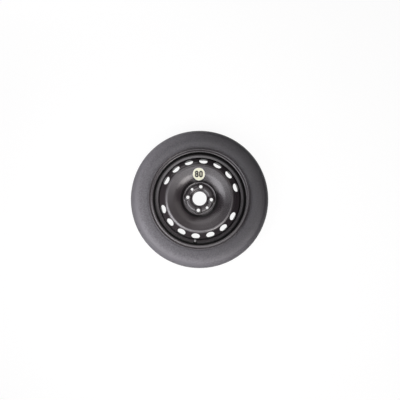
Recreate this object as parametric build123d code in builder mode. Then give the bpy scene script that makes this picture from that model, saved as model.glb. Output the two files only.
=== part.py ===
# Space saver spare wheel: pressed steel wheel, narrow tyre and snap-in valve, in millimetres.
# The wheel axis is Z, the outer face looks along +Z, and the hub sits against z = 0.
import os
from math import atan2, cos, degrees, radians, sin, tan

from build123d import *

os.makedirs("parts", exist_ok=True)

# Rim, a 4 inch wide and 15 inch drop centre section
rim_width = 101.6
rim_wall = 2.3
wheel_offset = 28
seat_radius = 190.1
seat_width = 18.5
seat_taper = 5
seat_corner = 5.5
flange_height = 17.3
flange_curl = 8.5
lip_length = 1.6
lip_round = 1
hump_height = 1.2
hump_run = 6
hump_round = 4
well_depth = 19
well_round = 2.5
shelf_tilt = 11
inner_wall_tilt = 18

# Disc, pressed from one sheet
disc_wall = 3.2
bore_radius = 29.05
collar_width = 5.5
land_height = 4
inner_flank_run = 7
outer_flank_run = 7.5
land_margin = 3
contact_width = 8
bowl_run = 21
bowl_height = 16.3
crest_radius = 136
crest_height = 27.5
vent_slope = 34
skirt_length = 35.6
valley_round = 5
land_round = 10
bowl_foot_round = 9
bowl_round = 97
crest_round = 15.5
shoulder_round = 2

# Holes in the disc
bolt_circle = 98
bolt_count = 4
bolt_hole_radius = 6.75
bolt_seat_radius = 9.1
bolt_seat_angle = 60
boss_rise = 2.5
boss_radius = 12.5
boss_taper = 35
boss_bite = 0.6
locating_radius = 5.25
locating_count = 2
locating_angle = 135
vent_places = 16
vent_length = 34
vent_gap = 0.5

# Fits between the pieces of the wheel
bead_fit = 0.1
skirt_fit = 0.05
weld_leg = 4.2
weld_belly = 0.6
weld_count = 8
weld_arc = 30

# Tyre
tyre_radius = 288.5
section_width = 127
tread_half = 46
crown_drop = 7.5
shoulder_share = 0.82
shoulder_inset = 4.6
bulge_share = 0.6
lift_angle = 45
bead_width = 17.5
heel_round = 6.5
filler_height = 14
filler_depth = 6.8
side_thickness = 7
tread_thickness = 13
inner_drop = 11.5
inner_inset = 5.5
edge_drop = 1
edge_inset = 8
groove_width = 6
groove_depth = 5.6
groove_pitch = 21
slot_count = 64
slot_width = 3.6
slot_depth = 4.4
slot_length = 26
slot_place = 45

# Speed sticker on the bowl
sticker_radius = 25
sticker_thickness = 0.25
sticker_gap = 0.05
sticker_place = 100
sticker_angle = 97.6

# Valve, along its own axis from the visible side of the rim wall
valve_drop = 10.3
valve_hole_radius = 5.75
valve_fit = 0.1
bulb_radius = 7.2
bulb_length = 8
bulb_taper = 1.6
bearing_radius = 6.4
bearing_depth = 0.8
shoulder_radius = 6.6
shoulder_height = 2.2
neck_radius = 5.6
neck_height = 5.5
rubber_height = 20.5
rubber_tip_radius = 4.8
rubber_round = 1
insert_radius = 3
insert_height = 31
thread_radius = 3.85
thread_chamfer = 0.5
thread_depth = 7
core_radius = 2.6
core_fit = 0.05
passage_radius = 1.9
throat_radius = 2.3
throat_start = 17
throat_run = 1
bond_gap = 0.03

# Valve core
head_base = 24.5
head_top = 30.2
head_bore = 1
tongue_width = 2.8
tongue_height = 2
tube_radius = 1.75
tube_bore = 1.45
tube_end = 16.8
ledge_height = 0.8
ledge_bore = 0.85
ring_start = 18.6
ring_height = 1.4
pin_radius = 0.55
pin_end = 13
pin_tip = 29.6
collar_radius = 1.15
collar_base = 23
collar_height = 0.8
foot_radius = 1.1
foot_height = 0.8
cup_radius = 1.6
cup_height = 2.9
stop_gap = 0.05
spring_radius = 1
spring_wire = 0.26
spring_turns = 4

# Valve cap
cap_radius = 4.75
cap_start = 21.4
cap_top_wall = 1.3
cap_fit = 0.09
washer_thickness = 0.8
washer_gap = 0.05
washer_hole = 1.6
washer_inset = 0.2
cap_round = 1.2

# Places worked out from the sizes above
rim_middle = -wheel_offset
outer_face = rim_middle + rim_width / 2
inner_face = rim_middle - rim_width / 2
flange_radius = seat_radius + flange_height
seat_end_radius = seat_radius - seat_width * tan(radians(seat_taper))
hump_radius = seat_end_radius + hump_height
hump_side = seat_width + hump_run
well_radius = seat_radius - well_depth
shelf_run = (hump_radius - well_radius) * tan(radians(shelf_tilt))
inner_run = (hump_radius - well_radius) * tan(radians(inner_wall_tilt))
well_bore = well_radius - rim_wall

collar_end = bore_radius + collar_width
land_start = collar_end + inner_flank_run
land_end = bolt_circle / 2 + land_margin
contact_start = land_end + outer_flank_run
contact_end = contact_start + contact_width
bowl_start = contact_end + bowl_run
skirt_outer = well_bore - skirt_fit
skirt_inner = skirt_outer - disc_wall
corner_height = crest_height - (skirt_inner - crest_radius) * tan(radians(vent_slope))
skirt_end = corner_height - skirt_length
boss_top = land_height + disc_wall + boss_rise
boss_base = disc_wall - boss_bite
boss_height = boss_top - boss_base
boss_foot = boss_radius + boss_height * tan(radians(boss_taper))
bowl_rise = degrees(atan2(crest_height - bowl_height, crest_radius - bowl_start))
crest_reach = crest_round * tan(radians((bowl_rise + vent_slope) / 2))
shoulder_reach = shoulder_round * tan(radians((90 - vent_slope) / 2))
band_length = (skirt_inner - crest_radius) / cos(radians(vent_slope))
vent_width = band_length - crest_reach - shoulder_reach - 2 * vent_gap
vent_place = crest_reach + vent_gap + vent_width / 2
vent_radius = crest_radius + vent_place * cos(radians(vent_slope))
vent_height = crest_height - vent_place * sin(radians(vent_slope))

hub_points = [
    (bore_radius, 0),
    (collar_end, 0),
    (land_start, land_height),
    (land_end, land_height),
    (contact_start, 0),
    (contact_end, 0),
]
bowl_points = [
    (bowl_start, bowl_height),
    (crest_radius, crest_height),
    (skirt_inner, corner_height),
    (skirt_inner, skirt_end),
]
hub_rounds = [valley_round, land_round, land_round, valley_round]
bowl_rounds = [bowl_foot_round, bowl_round, crest_round, shoulder_round]

curl_radius = flange_radius - flange_curl
curl_place = rim_width / 2 + flange_curl
contact_curl = flange_curl + bead_fit
bead_face = rim_width / 2 - bead_fit
bead_radius = seat_radius + bead_fit
toe_radius = bead_radius - bead_width * tan(radians(seat_taper))
lift_point = (
    curl_radius + contact_curl * sin(radians(lift_angle)),
    curl_place - contact_curl * cos(radians(lift_angle)),
)
section_height = tyre_radius - seat_radius
bulge_radius = seat_radius + bulge_share * section_height
shoulder_place = seat_radius + shoulder_share * section_height
bulge_point = (bulge_radius, section_width / 2)
shoulder_point = (shoulder_place, section_width / 2 - shoulder_inset)
tread_edge = (tyre_radius - crown_drop, tread_half)
inner_crown = tyre_radius - tread_thickness
filler_point = (seat_radius + filler_height, bead_face - filler_depth)
inner_bulge = (bulge_radius, section_width / 2 - side_thickness)
inner_shoulder = (inner_crown - inner_drop, section_width / 2 - side_thickness - inner_inset)
inner_edge = (inner_crown - edge_drop, tread_half - edge_inset)
tyre_section = Plane(origin=(0, 0, rim_middle), x_dir=(1, 0, 0), z_dir=(0, -1, 0))

valve_radius = hump_radius - valve_drop * cos(radians(shelf_tilt)) - rim_wall * sin(radians(shelf_tilt))
valve_height = (
    outer_face
    - hump_side
    - valve_drop * sin(radians(shelf_tilt))
    + rim_wall * cos(radians(shelf_tilt))
)
valve_origin = (0, -valve_radius, valve_height)
valve_direction = (0, sin(radians(shelf_tilt)), cos(radians(shelf_tilt)))
valve_axis = Axis(valve_origin, valve_direction)
valve_plane = Plane(origin=valve_origin, x_dir=(1, 0, 0), z_dir=valve_direction)
valve_section = Plane(
    origin=valve_origin,
    x_dir=(1, 0, 0),
    z_dir=(0, -cos(radians(shelf_tilt)), sin(radians(shelf_tilt))),
)
groove_radius = valve_hole_radius - valve_fit
bulb_end = -rim_wall - bulb_length
core_bore = core_radius + core_fit
throat_end = insert_height - thread_depth - (core_bore - throat_radius)
ledge_top = tube_end + ledge_height
spring_base = ledge_top + spring_wire / 2 + stop_gap
spring_height = collar_base - ledge_top - spring_wire - 2 * stop_gap
cup_top = tube_end - stop_gap
cap_bore = thread_radius + cap_fit
washer_base = insert_height + washer_gap
cap_ceiling = washer_base + washer_thickness + washer_gap
cap_top = cap_ceiling + cap_top_wall


# Upright plane through the wheel axis, turned by an angle in degrees
def radial_plane(angle):
    turn = radians(angle)
    return Plane(origin=(0, 0, 0), x_dir=(cos(turn), sin(turn), 0), z_dir=(sin(turn), -cos(turn), 0))


# Plane on the sloped outer band of the disc, facing out of the sheet
def vent_plane(angle):
    turn = radians(angle)
    lean = radians(vent_slope)
    return Plane(
        origin=(vent_radius * cos(turn), vent_radius * sin(turn), vent_height),
        x_dir=(-sin(turn), cos(turn), 0),
        z_dir=(sin(lean) * cos(turn), sin(lean) * sin(turn), cos(lean)),
    )


# Section of the disc sheet, from its inboard side out to a given thickness
def sheet_section(thickness):
    with BuildSketch(Plane.XZ) as section:
        with BuildLine():
            FilletPolyline(*hub_points, *bowl_points, radius=hub_rounds + bowl_rounds)
            offset(amount=thickness, side=Side.LEFT)
        make_face()
    return section.sketch


# Rim
with BuildPart() as rim:
    with BuildSketch(Plane.XZ) as rim_section:
        with BuildLine():
            FilletPolyline(
                (flange_radius, outer_face + flange_curl + lip_length),
                (flange_radius, outer_face),
                (seat_radius, outer_face),
                (seat_end_radius, outer_face - seat_width),
                (hump_radius, outer_face - hump_side),
                (well_radius, outer_face - hump_side - shelf_run),
                (well_radius, inner_face + hump_side + inner_run),
                (hump_radius, inner_face + hump_side),
                (seat_end_radius, inner_face + seat_width),
                (seat_radius, inner_face),
                (flange_radius, inner_face),
                (flange_radius, inner_face - flange_curl - lip_length),
                radius=[
                    flange_curl,
                    seat_corner,
                    hump_round,
                    hump_round,
                    well_round,
                    well_round,
                    hump_round,
                    hump_round,
                    seat_corner,
                    flange_curl,
                ],
            )
            offset(amount=rim_wall, side=Side.RIGHT)
        make_face()
        fillet(rim_section.vertices().group_by(Axis.Y)[-1], lip_round)
        fillet(rim_section.vertices().group_by(Axis.Y)[0], lip_round)
    revolve(axis=Axis.Z)
    with BuildSketch(valve_plane):
        Circle(valve_hole_radius)
    extrude(amount=2 * rim_wall, both=True, mode=Mode.SUBTRACT)
rim.part.label = "rim"
export_step(rim.part, "parts/rim.step")

# Disc: pressed sheet with raised bolt seats, then its holes
with BuildPart() as disc:
    add(sheet_section(disc_wall))
    revolve(axis=Axis.Z)
    with Locations((0, 0, boss_base)):
        with PolarLocations(bolt_circle / 2, bolt_count):
            Cone(boss_foot, boss_radius, boss_height, align=(Align.CENTER, Align.CENTER, Align.MIN))
    with Locations(Plane.XY.offset(boss_top)):
        with PolarLocations(bolt_circle / 2, bolt_count):
            CounterSinkHole(bolt_hole_radius, bolt_seat_radius, counter_sink_angle=bolt_seat_angle)
        with PolarLocations(bolt_circle / 2, locating_count, start_angle=locating_angle):
            Hole(locating_radius)
    for place in range(vent_places):
        if place % (vent_places // 2) != 0:
            with BuildSketch(vent_plane(place * 360 / vent_places)):
                Ellipse(vent_length / 2, vent_width / 2)
    extrude(amount=3 * disc_wall, both=True, mode=Mode.SUBTRACT)
disc.part.label = "disc"
export_step(disc.part, "parts/disc.step")

# Weld beads between the end of the disc skirt and the rim well
with BuildPart() as weld_beads:
    for place in range(weld_count):
        with BuildSketch(radial_plane(place * 360 / weld_count)):
            with BuildLine():
                Polyline(
                    (skirt_outer, skirt_end - weld_leg),
                    (skirt_outer, skirt_end - skirt_fit),
                    (skirt_outer - weld_leg, skirt_end - skirt_fit),
                )
                ThreePointArc(
                    (skirt_outer - weld_leg, skirt_end - skirt_fit),
                    (skirt_outer - weld_leg * weld_belly, skirt_end - weld_leg * weld_belly),
                    (skirt_outer, skirt_end - weld_leg),
                )
            make_face()
    revolve(axis=Axis.Z, revolution_arc=weld_arc)
weld_beads.part.label = "weld_beads"
export_step(weld_beads.part, "parts/weld_beads.step")

# Speed sticker: a round piece cut from a thin layer that follows the bowl
with BuildPart() as speed_sticker:
    add(sheet_section(disc_wall + sticker_gap + sticker_thickness))
    revolve(axis=Axis.Z)
    add(sheet_section(disc_wall + sticker_gap))
    revolve(axis=Axis.Z, mode=Mode.SUBTRACT)
    with BuildSketch(Plane.XY):
        with PolarLocations(sticker_place, 1, start_angle=sticker_angle):
            Circle(sticker_radius)
    extrude(amount=2 * crest_height, mode=Mode.INTERSECT)
speed_sticker.part.label = "speed_sticker"
export_step(speed_sticker.part, "parts/speed_sticker.step")

# Tyre: half section from crown to bead and back inside, mirrored, then the tread pattern
with BuildPart() as tyre:
    with BuildSketch(tyre_section):
        with BuildLine():
            TangentArc((tyre_radius, 0), tread_edge, tangent=(0, 1))
            upper_side = TangentArc(bulge_point, shoulder_point, tangent=(1, 0))
            TangentArc(shoulder_point, tread_edge, tangent=upper_side % 1)
            TangentArc(bulge_point, lift_point, tangent=(-1, 0))
            CenterArc((curl_radius, curl_place), contact_curl, 270, lift_angle)
            FilletPolyline(
                (curl_radius, bead_face),
                (bead_radius, bead_face),
                (toe_radius, bead_face - bead_width),
                radius=[heel_round],
            )
            Line((toe_radius, bead_face - bead_width), filler_point)
            TangentArc(inner_bulge, filler_point, tangent=(-1, 0))
            inner_side = TangentArc(inner_bulge, inner_shoulder, tangent=(1, 0))
            TangentArc(inner_shoulder, inner_edge, tangent=inner_side % 1)
            TangentArc((inner_crown, 0), inner_edge, tangent=(0, 1))
            Line((inner_crown, 0), (tyre_radius, 0))
        make_face()
        mirror(about=Plane.XZ)
    revolve(axis=Axis.Z)
    with BuildSketch(tyre_section):
        with Locations((tyre_radius, -groove_pitch), (tyre_radius, 0), (tyre_radius, groove_pitch)):
            Rectangle(2 * groove_depth, groove_width)
    revolve(axis=Axis.Z, mode=Mode.SUBTRACT)
    with Locations((0, 0, rim_middle - slot_place), (0, 0, rim_middle + slot_place)):
        with PolarLocations(tyre_radius - crown_drop, slot_count):
            Box(2 * slot_depth, slot_width, slot_length, mode=Mode.SUBTRACT)
tyre.part.label = "tyre"
export_step(tyre.part, "parts/tyre.step")

# Valve rubber: bulb inside the tyre, groove in the rim hole, tapered body outside
with BuildPart() as valve_rubber:
    with BuildSketch(valve_section):
        with BuildLine():
            Polyline(
                (insert_radius + bond_gap, rubber_height),
                (insert_radius + bond_gap, bulb_end),
                (bulb_radius - bulb_taper, bulb_end),
                (bulb_radius, bulb_end + bulb_taper),
                (bulb_radius, -rim_wall - valve_fit - bearing_depth),
                (bearing_radius, -rim_wall - valve_fit),
                (groove_radius, -rim_wall - valve_fit),
                (groove_radius, valve_fit),
                (shoulder_radius, valve_fit),
            )
            FilletPolyline(
                (shoulder_radius, valve_fit),
                (shoulder_radius, shoulder_height),
                (neck_radius, neck_height),
                (rubber_tip_radius, rubber_height),
                (insert_radius + bond_gap, rubber_height),
                radius=rubber_round,
            )
        make_face()
    revolve(axis=valve_axis)
valve_rubber.part.label = "valve_rubber"
export_step(valve_rubber.part, "parts/valve_rubber.step")

# Valve insert: brass tube with the threaded end for the cap and the seat for the core
with BuildPart() as valve_insert:
    with BuildSketch(valve_section):
        with BuildLine():
            Polyline(
                (passage_radius, bulb_end),
                (insert_radius, bulb_end),
                (insert_radius, rubber_height + bond_gap),
                (thread_radius, rubber_height + bond_gap),
                (thread_radius, insert_height - thread_chamfer),
                (thread_radius - thread_chamfer, insert_height),
                (core_bore, insert_height),
                (core_bore, insert_height - thread_depth),
                (throat_radius, throat_end),
                (throat_radius, throat_start + throat_run),
                (passage_radius, throat_start),
                close=True,
            )
        make_face()
    revolve(axis=valve_axis)
valve_insert.part.label = "valve_insert"
export_step(valve_insert.part, "parts/valve_insert.step")

# Core housing: screwed head with a tongue for the key, and the tube that holds the spring
with BuildPart() as core_housing:
    with BuildSketch(valve_section):
        with BuildLine():
            Polyline(
                (ledge_bore, tube_end),
                (tube_radius, tube_end),
                (tube_radius, head_base),
                (core_radius, head_base),
                (core_radius, head_top),
                (head_bore, head_top),
                (head_bore, head_base),
                (tube_bore, head_base),
                (tube_bore, ledge_top),
                (ledge_bore, ledge_top),
                close=True,
            )
        make_face()
    revolve(axis=valve_axis)
    with BuildSketch(valve_plane.offset(head_top)):
        Circle(2 * core_radius)
        Rectangle(4 * core_radius, tongue_width, mode=Mode.SUBTRACT)
    extrude(amount=-tongue_height, mode=Mode.SUBTRACT)
core_housing.part.label = "core_housing"
export_step(core_housing.part, "parts/core_housing.step")

# Core ring: seals the housing in the throat of the insert
with BuildPart() as core_ring:
    with BuildSketch(valve_plane.offset(ring_start)):
        Circle(throat_radius - core_fit)
        Circle(tube_radius + bond_gap, mode=Mode.SUBTRACT)
    extrude(amount=ring_height)
core_ring.part.label = "core_ring"
export_step(core_ring.part, "parts/core_ring.step")

# Core pin: pressed in to let air out, with a collar for the spring and a foot for the cup
with BuildPart() as core_pin:
    with BuildSketch(valve_section):
        with BuildLine():
            Polyline(
                (0, pin_end),
                (foot_radius, pin_end),
                (foot_radius, pin_end + foot_height),
                (pin_radius, pin_end + foot_height),
                (pin_radius, collar_base),
                (collar_radius, collar_base),
                (collar_radius, collar_base + collar_height),
                (pin_radius, collar_base + collar_height),
                (pin_radius, pin_tip),
                (0, pin_tip),
                close=True,
            )
        make_face()
    revolve(axis=valve_axis)
core_pin.part.label = "core_pin"
export_step(core_pin.part, "parts/core_pin.step")

# Core cup: rubber seal that the pin draws against the end of the housing
with BuildPart() as core_cup:
    with BuildSketch(valve_plane.offset(cup_top)):
        Circle(cup_radius)
        Circle(pin_radius + bond_gap, mode=Mode.SUBTRACT)
    extrude(amount=-cup_height)
core_cup.part.label = "core_cup"
export_step(core_cup.part, "parts/core_cup.step")

# Core spring: pushes the collar up, so the cup stays shut
with BuildPart() as core_spring:
    with BuildLine() as coil:
        Helix(
            pitch=spring_height / spring_turns,
            height=spring_height,
            radius=spring_radius,
            center=valve_axis.position + valve_axis.direction * spring_base,
            direction=valve_direction,
        )
    with BuildSketch(Plane(origin=coil.line @ 0, z_dir=coil.line % 0)):
        Rectangle(spring_wire, spring_wire)
    sweep(path=coil.line, is_frenet=True)
core_spring.part.label = "core_spring"
export_step(core_spring.part, "parts/core_spring.step")

# Valve cap, screwed over the threaded end of the insert
with BuildPart() as valve_cap:
    with BuildSketch(valve_section):
        with BuildLine():
            FilletPolyline(
                (cap_bore, cap_start),
                (cap_radius, cap_start),
                (cap_radius, cap_top),
                (0, cap_top),
                radius=[0, cap_round],
            )
            Polyline((0, cap_top), (0, cap_ceiling), (cap_bore, cap_ceiling), (cap_bore, cap_start))
        make_face()
    revolve(axis=valve_axis)
valve_cap.part.label = "valve_cap"
export_step(valve_cap.part, "parts/valve_cap.step")

# Cap washer, between the cap and the end of the insert
with BuildPart() as cap_washer:
    with BuildSketch(valve_plane.offset(washer_base)):
        Circle(thread_radius - washer_inset)
        Circle(washer_hole, mode=Mode.SUBTRACT)
    extrude(amount=washer_thickness)
cap_washer.part.label = "cap_washer"
export_step(cap_washer.part, "parts/cap_washer.step")
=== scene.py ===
import math

import bmesh
import bpy
import numpy as np
from mathutils import Matrix, Vector


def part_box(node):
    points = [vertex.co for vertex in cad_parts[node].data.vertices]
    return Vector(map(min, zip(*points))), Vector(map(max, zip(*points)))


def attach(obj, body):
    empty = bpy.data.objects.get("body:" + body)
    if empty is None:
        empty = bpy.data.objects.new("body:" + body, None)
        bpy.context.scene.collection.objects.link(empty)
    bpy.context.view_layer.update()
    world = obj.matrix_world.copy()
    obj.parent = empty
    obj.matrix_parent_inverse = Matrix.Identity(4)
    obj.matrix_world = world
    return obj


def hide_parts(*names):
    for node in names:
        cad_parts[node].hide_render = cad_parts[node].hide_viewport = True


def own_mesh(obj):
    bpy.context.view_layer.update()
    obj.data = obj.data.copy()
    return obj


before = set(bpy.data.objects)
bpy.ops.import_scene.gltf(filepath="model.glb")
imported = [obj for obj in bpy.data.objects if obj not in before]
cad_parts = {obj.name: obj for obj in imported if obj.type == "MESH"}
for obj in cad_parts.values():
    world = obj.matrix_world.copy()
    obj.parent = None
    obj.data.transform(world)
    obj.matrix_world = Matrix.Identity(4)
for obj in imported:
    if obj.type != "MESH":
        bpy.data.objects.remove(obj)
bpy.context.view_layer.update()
print("frame loaded")

mm = 0.001  # shapes are worked out in millimetres
turn = 2 * math.pi


# Paths in a half plane through an axis, as (distance from the axis, height)

def unit(v):
    return v / np.linalg.norm(v)


# Straight runs between corners. Each inner corner is cut back by radius * tan(half the turn) and bridged by an arc.
def roundedPath(corners, radii, steps=24):
    corners = np.asarray(corners, float)
    runs = [corners[:1]]
    for before, corner, after, radius in zip(corners, corners[1:], corners[2:], radii):
        along, away = unit(corner - before), unit(after - corner)
        bend = math.atan2(along[0] * away[1] - along[1] * away[0], along @ away)
        start = corner - along * radius * math.tan(abs(bend) / 2)
        side = np.array([-along[1], along[0]]) * math.copysign(radius, bend)
        sweep = np.linspace(0, abs(bend), steps + 1)[:, None]
        runs.append(start + along * radius * np.sin(sweep) + side * (1 - np.cos(sweep)))
    return np.concatenate(runs + [corners[-1:]])


# Arc from start to end that leaves along a tangent: radius = chord squared / (2 * offset of the end from it).
def tangentArc(start, end, tangent, steps=60):
    start, tangent = np.asarray(start, float), unit(np.asarray(tangent, float))
    chord = np.asarray(end, float) - start
    normal = np.array([-tangent[1], tangent[0]])
    radius = chord @ chord / (2 * chord @ normal)
    sweep = 2 * math.atan2(chord @ normal, chord @ tangent)
    angle = np.linspace(0, sweep, steps + 1)[:, None]
    return start + radius * (np.sin(angle) * tangent + (1 - np.cos(angle)) * normal)


# Resamples a path in equal steps and keeps, at each length along it, the place and the normal on its left.
def measured(path, step=0.1):
    path = path[np.r_[True, np.linalg.norm(np.diff(path, axis=0), axis=1) > 1e-6]]
    length = np.r_[0, np.cumsum(np.linalg.norm(np.diff(path, axis=0), axis=1))]
    s = np.linspace(0, length[-1], int(length[-1] / step) + 2)
    r, z = np.interp(s, length, path[:, 0]), np.interp(s, length, path[:, 1])
    dr, dz = np.gradient(r, s), np.gradient(z, s)
    size = np.hypot(dr, dz)
    return {"s": s, "r": r, "z": z, "nr": -dz / size, "nz": dr / size}


# Place and normal of a measured path at lengths along it, straight between its samples
def at(line, s):
    return [np.interp(s, line["s"], line[part]) for part in ("r", "z", "nr", "nz")]


# Places along a measured path, closer together where it bends: equal shares of length + weight * turning angle.
def spread(line, start, end, count, weight=12):
    inside = np.clip(line["s"], start, end)
    heading = np.unwrap(np.arctan2(line["nz"], line["nr"]))
    bending = np.r_[0, np.abs(np.diff(heading))] * ((line["s"] > start) & (line["s"] < end))
    share = inside - start + weight * np.cumsum(bending)
    return np.r_[start, np.interp(np.linspace(0, share[-1], count + 1)[1:-1], share, inside), end]


# Points of (radius, height) turned by an angle about the wheel's axis
def turned(r, z, angle):
    r, z, angle = np.broadcast_arrays(r, z, angle)
    return np.stack([r * np.cos(angle), r * np.sin(angle), z], axis=-1)


# Meshes

# Quads between neighbours on a grid of points, closed round either way if asked.
def gridPatch(points, closeU=False, closeV=False):
    rows, columns = points.shape[:2]
    index = np.arange(rows * columns).reshape(rows, columns)
    index = np.concatenate([index, index[:1]]) if closeU else index
    index = np.concatenate([index, index[:, :1]], axis=1) if closeV else index
    quads = np.stack([index[:-1, :-1], index[1:, :-1], index[1:, 1:], index[:-1, 1:]], axis=-1)
    return points.reshape(-1, 3), quads.reshape(-1, 4)


# One object from patches that share their edges: doubles are merged and the closed shell's faces turned outwards.
def shell(name, patches, sharpAngle=35):
    starts = np.cumsum([0] + [len(points) for points, _ in patches])
    points = np.concatenate([points for points, _ in patches]) * mm
    quads = np.concatenate([quads + start for (_, quads), start in zip(patches, starts)])
    mesh = bpy.data.meshes.new(name)
    mesh.from_pydata(points.tolist(), [], quads.tolist())
    work = bmesh.new()
    work.from_mesh(mesh)
    bmesh.ops.remove_doubles(work, verts=work.verts, dist=2e-6)
    bmesh.ops.recalc_face_normals(work, faces=work.faces)
    openEdges = sum(not edge.is_manifold for edge in work.edges)
    work.to_mesh(mesh)
    work.free()
    mesh.shade_smooth()
    mesh.set_sharp_from_angle(angle=math.radians(sharpAngle))
    piece = bpy.data.objects.new(name, mesh)
    bpy.context.scene.collection.objects.link(piece)
    print(name, len(mesh.polygons), "faces,", openEdges, "open edges")
    return piece


# Puts a piece on its body in place of a node of the frame, with a finish
def dress(piece, body, material, node):
    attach(piece, body)
    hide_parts(node)
    piece.data.materials.append(material)


# Pressed sheet with holes. pointAt(angle, place along the path, lift from one face to the other) gives a point of it.

# Edge of a sheet in section: quarter round, straight, quarter round, as (distance from the edge, lift).
def roundedEdge(thickness, radius, steps=4):
    angle = np.linspace(0, math.pi / 2, steps + 1)
    away, depth = radius * (1 - np.sin(angle)), radius * (1 - np.cos(angle))
    lift = 1 - depth / thickness
    return np.r_[away, away[::-1]], np.r_[lift, 1 - lift[::-1]]


# Outline of a round or oval hole, grown by some millimetres: an ellipse laid on the cone round the hole's middle.
def ovalOutline(hole, aim, extra):
    across = (hole["wide"] + extra) * np.cos(aim)
    outwards = (hole["high"] + extra) * np.sin(aim) * hole["lean"]
    r = np.hypot(hole["r"] + outwards, across)
    return hole["angle"] + np.arctan2(across, hole["r"] + outwards), hole["s"] + (r - hole["r"]) / hole["lean"]


# A ring of quads that opens a rectangular cell of the sheet to a hole: straight lines in the cell's two parameters
# from its border to the grown outline on the top, then down the wall by (growth, lift), then back along the bottom.
def holeCell(pointAt, angles, places, hole, rings=7):
    borderA = np.r_[angles[:-1], np.full(len(places) - 1, angles[-1])]
    borderA = np.r_[borderA, angles[:0:-1], np.full(len(places) - 1, angles[0])]
    borderS = np.r_[np.full(len(angles) - 1, places[0]), places[:-1]]
    borderS = np.r_[borderS, np.full(len(angles) - 1, places[-1]), places[:0:-1]]
    across = (borderA - hole["angle"]) * hole["r"] / hole["wide"]
    aim = np.arctan2((borderS - hole["s"]) / hole["high"], across)
    grow, lift = hole["wall"]
    wallA, wallS = np.moveaxis(np.array([ovalOutline(hole, aim, extra) for extra in grow]), 1, 0)
    share = (np.arange(rings) / rings)[:, None] ** 0.8  # rings lie a little closer at the hole
    topA, topS = borderA + (wallA[0] - borderA) * share, borderS + (wallS[0] - borderS) * share
    lowA, lowS = borderA + (wallA[-1] - borderA) * share[::-1], borderS + (wallS[-1] - borderS) * share[::-1]
    ringA, ringS = np.concatenate([topA, wallA, lowA]), np.concatenate([topS, wallS, lowS])
    lifts = np.r_[np.ones(rings), lift, np.zeros(rings)][:, None] + 0 * ringA
    return gridPatch(pointAt(ringA, ringS, lifts), closeV=True)


# Both faces of a plain stretch of the sheet
def plainCell(pointAt, angles, places):
    a, s = np.meshgrid(angles, places, indexing="ij")
    return [gridPatch(pointAt(a, s, np.full(a.shape, lift))) for lift in (0.0, 1.0)]


# Band that closes one end of the sheet: along its top to the end, round the edge and back along the bottom
def endBand(pointAt, angles, places, end, thickness, radius):
    away, lift = roundedEdge(thickness, radius)
    inward = math.copysign(1, places[-1] - end)
    s = np.r_[places[::-1], end + inward * away, places]
    lifts = np.r_[np.ones(len(places)), lift, np.zeros(len(places))]
    a, s = np.meshgrid(angles, s, indexing="ij")
    return gridPatch(pointAt(a, s, lifts + 0 * s))


# Shader wires

class Wire:  # one socket; + - * ** between wires and numbers add Math nodes
    def __init__(self, tree, socket=None):
        self.tree, self.socket = tree, socket

    def node(self, kind, settings, inputs, output=0):
        made = self.tree.nodes.new(kind)
        for name, value in settings.items():
            setattr(made, name, value)
        for name, value in inputs.items():
            if isinstance(value, Wire):
                self.tree.links.new(value.socket, made.inputs[name])
            else:
                made.inputs[name].default_value = value
        return Wire(self.tree, made.outputs[output])

    def math(self, operation, first, second=0.0):
        return self.node("ShaderNodeMath", {"operation": operation}, {0: first, 1: second})

    def __add__(self, other):
        return self.math("ADD", self, other)

    def __radd__(self, other):
        return self.math("ADD", other, self)

    def __sub__(self, other):
        return self.math("SUBTRACT", self, other)

    def __rsub__(self, other):
        return self.math("SUBTRACT", other, self)

    def __mul__(self, other):
        return self.math("MULTIPLY", self, other)

    def __rmul__(self, other):
        return self.math("MULTIPLY", other, self)

    def __pow__(self, other):
        return self.math("POWER", self, other)

    def __abs__(self):
        return self.math("ABSOLUTE", self)

    def max(self, other):
        return self.math("MAXIMUM", self, other)

    def min(self, other):
        return self.math("MINIMUM", self, other)

    def ramp(self, low, high):  # 0 below low, 1 above high, smooth between
        settings = {"interpolation_type": "SMOOTHSTEP"}
        return self.node("ShaderNodeMapRange", settings, {"Value": self, "From Min": low, "From Max": high})

    def mix(self, first, second):  # this wire's share of the second colour over the first
        return self.node("ShaderNodeMix", {"data_type": "RGBA"}, {0: self, 6: first, 7: second}, 2)


def newMaterial(name, **constants):
    material = bpy.data.materials.new(name)
    material.use_nodes = True
    shader = material.node_tree.nodes["Principled BSDF"]
    for socket, value in constants.items():
        shader.inputs[socket.replace("_", " ")].default_value = value
    return material, Wire(material.node_tree), shader


def feed(wire, shader, **links):
    for socket, value in links.items():
        wire.tree.links.new(value.socket, shader.inputs[socket.replace("_", " ")])


def objectPlace(wire):
    place = wire.node("ShaderNodeTexCoord", {}, {}, "Object")
    return place, [place.node("ShaderNodeSeparateXYZ", {}, {0: place}, axis) for axis in range(3)]


def noise(place, scale, detail=3.0, roughness=0.5):
    inputs = {"Vector": place, "Scale": scale, "Detail": detail, "Roughness": roughness}
    return place.node("ShaderNodeTexNoise", {}, inputs)


def bump(height, strength, distance, under=None):
    inputs = {"Height": height, "Strength": strength, "Distance": distance}
    if under:
        inputs["Normal"] = under
    return height.node("ShaderNodeBump", {}, inputs)


def grey(level, tint=0.0):
    return (level * (1 - tint), level, level * (1 + tint), 1)


# Finishes

litSideDirection = (-0.81, -0.59)  # across the wheel, towards the lit side, where painted light makes the colour paler


# Share of painted light on the lit side: 0 to 1 over a range of places along its direction, in metres
def litSideRamp(x, y, start, end):
    return (x * litSideDirection[0] + y * litSideDirection[1]).ramp(start, end)


# Share of rings round the axis. Each rises over its first two radii and falls over the next two, in metres, and the
# last value is the most it reaches; the rings are added up.
def ringShare(radius, rings):
    return sum(radius.ramp(*ring[:2]) * (1 - radius.ramp(*ring[2:4])) * ring[4] for ring in rings)


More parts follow.
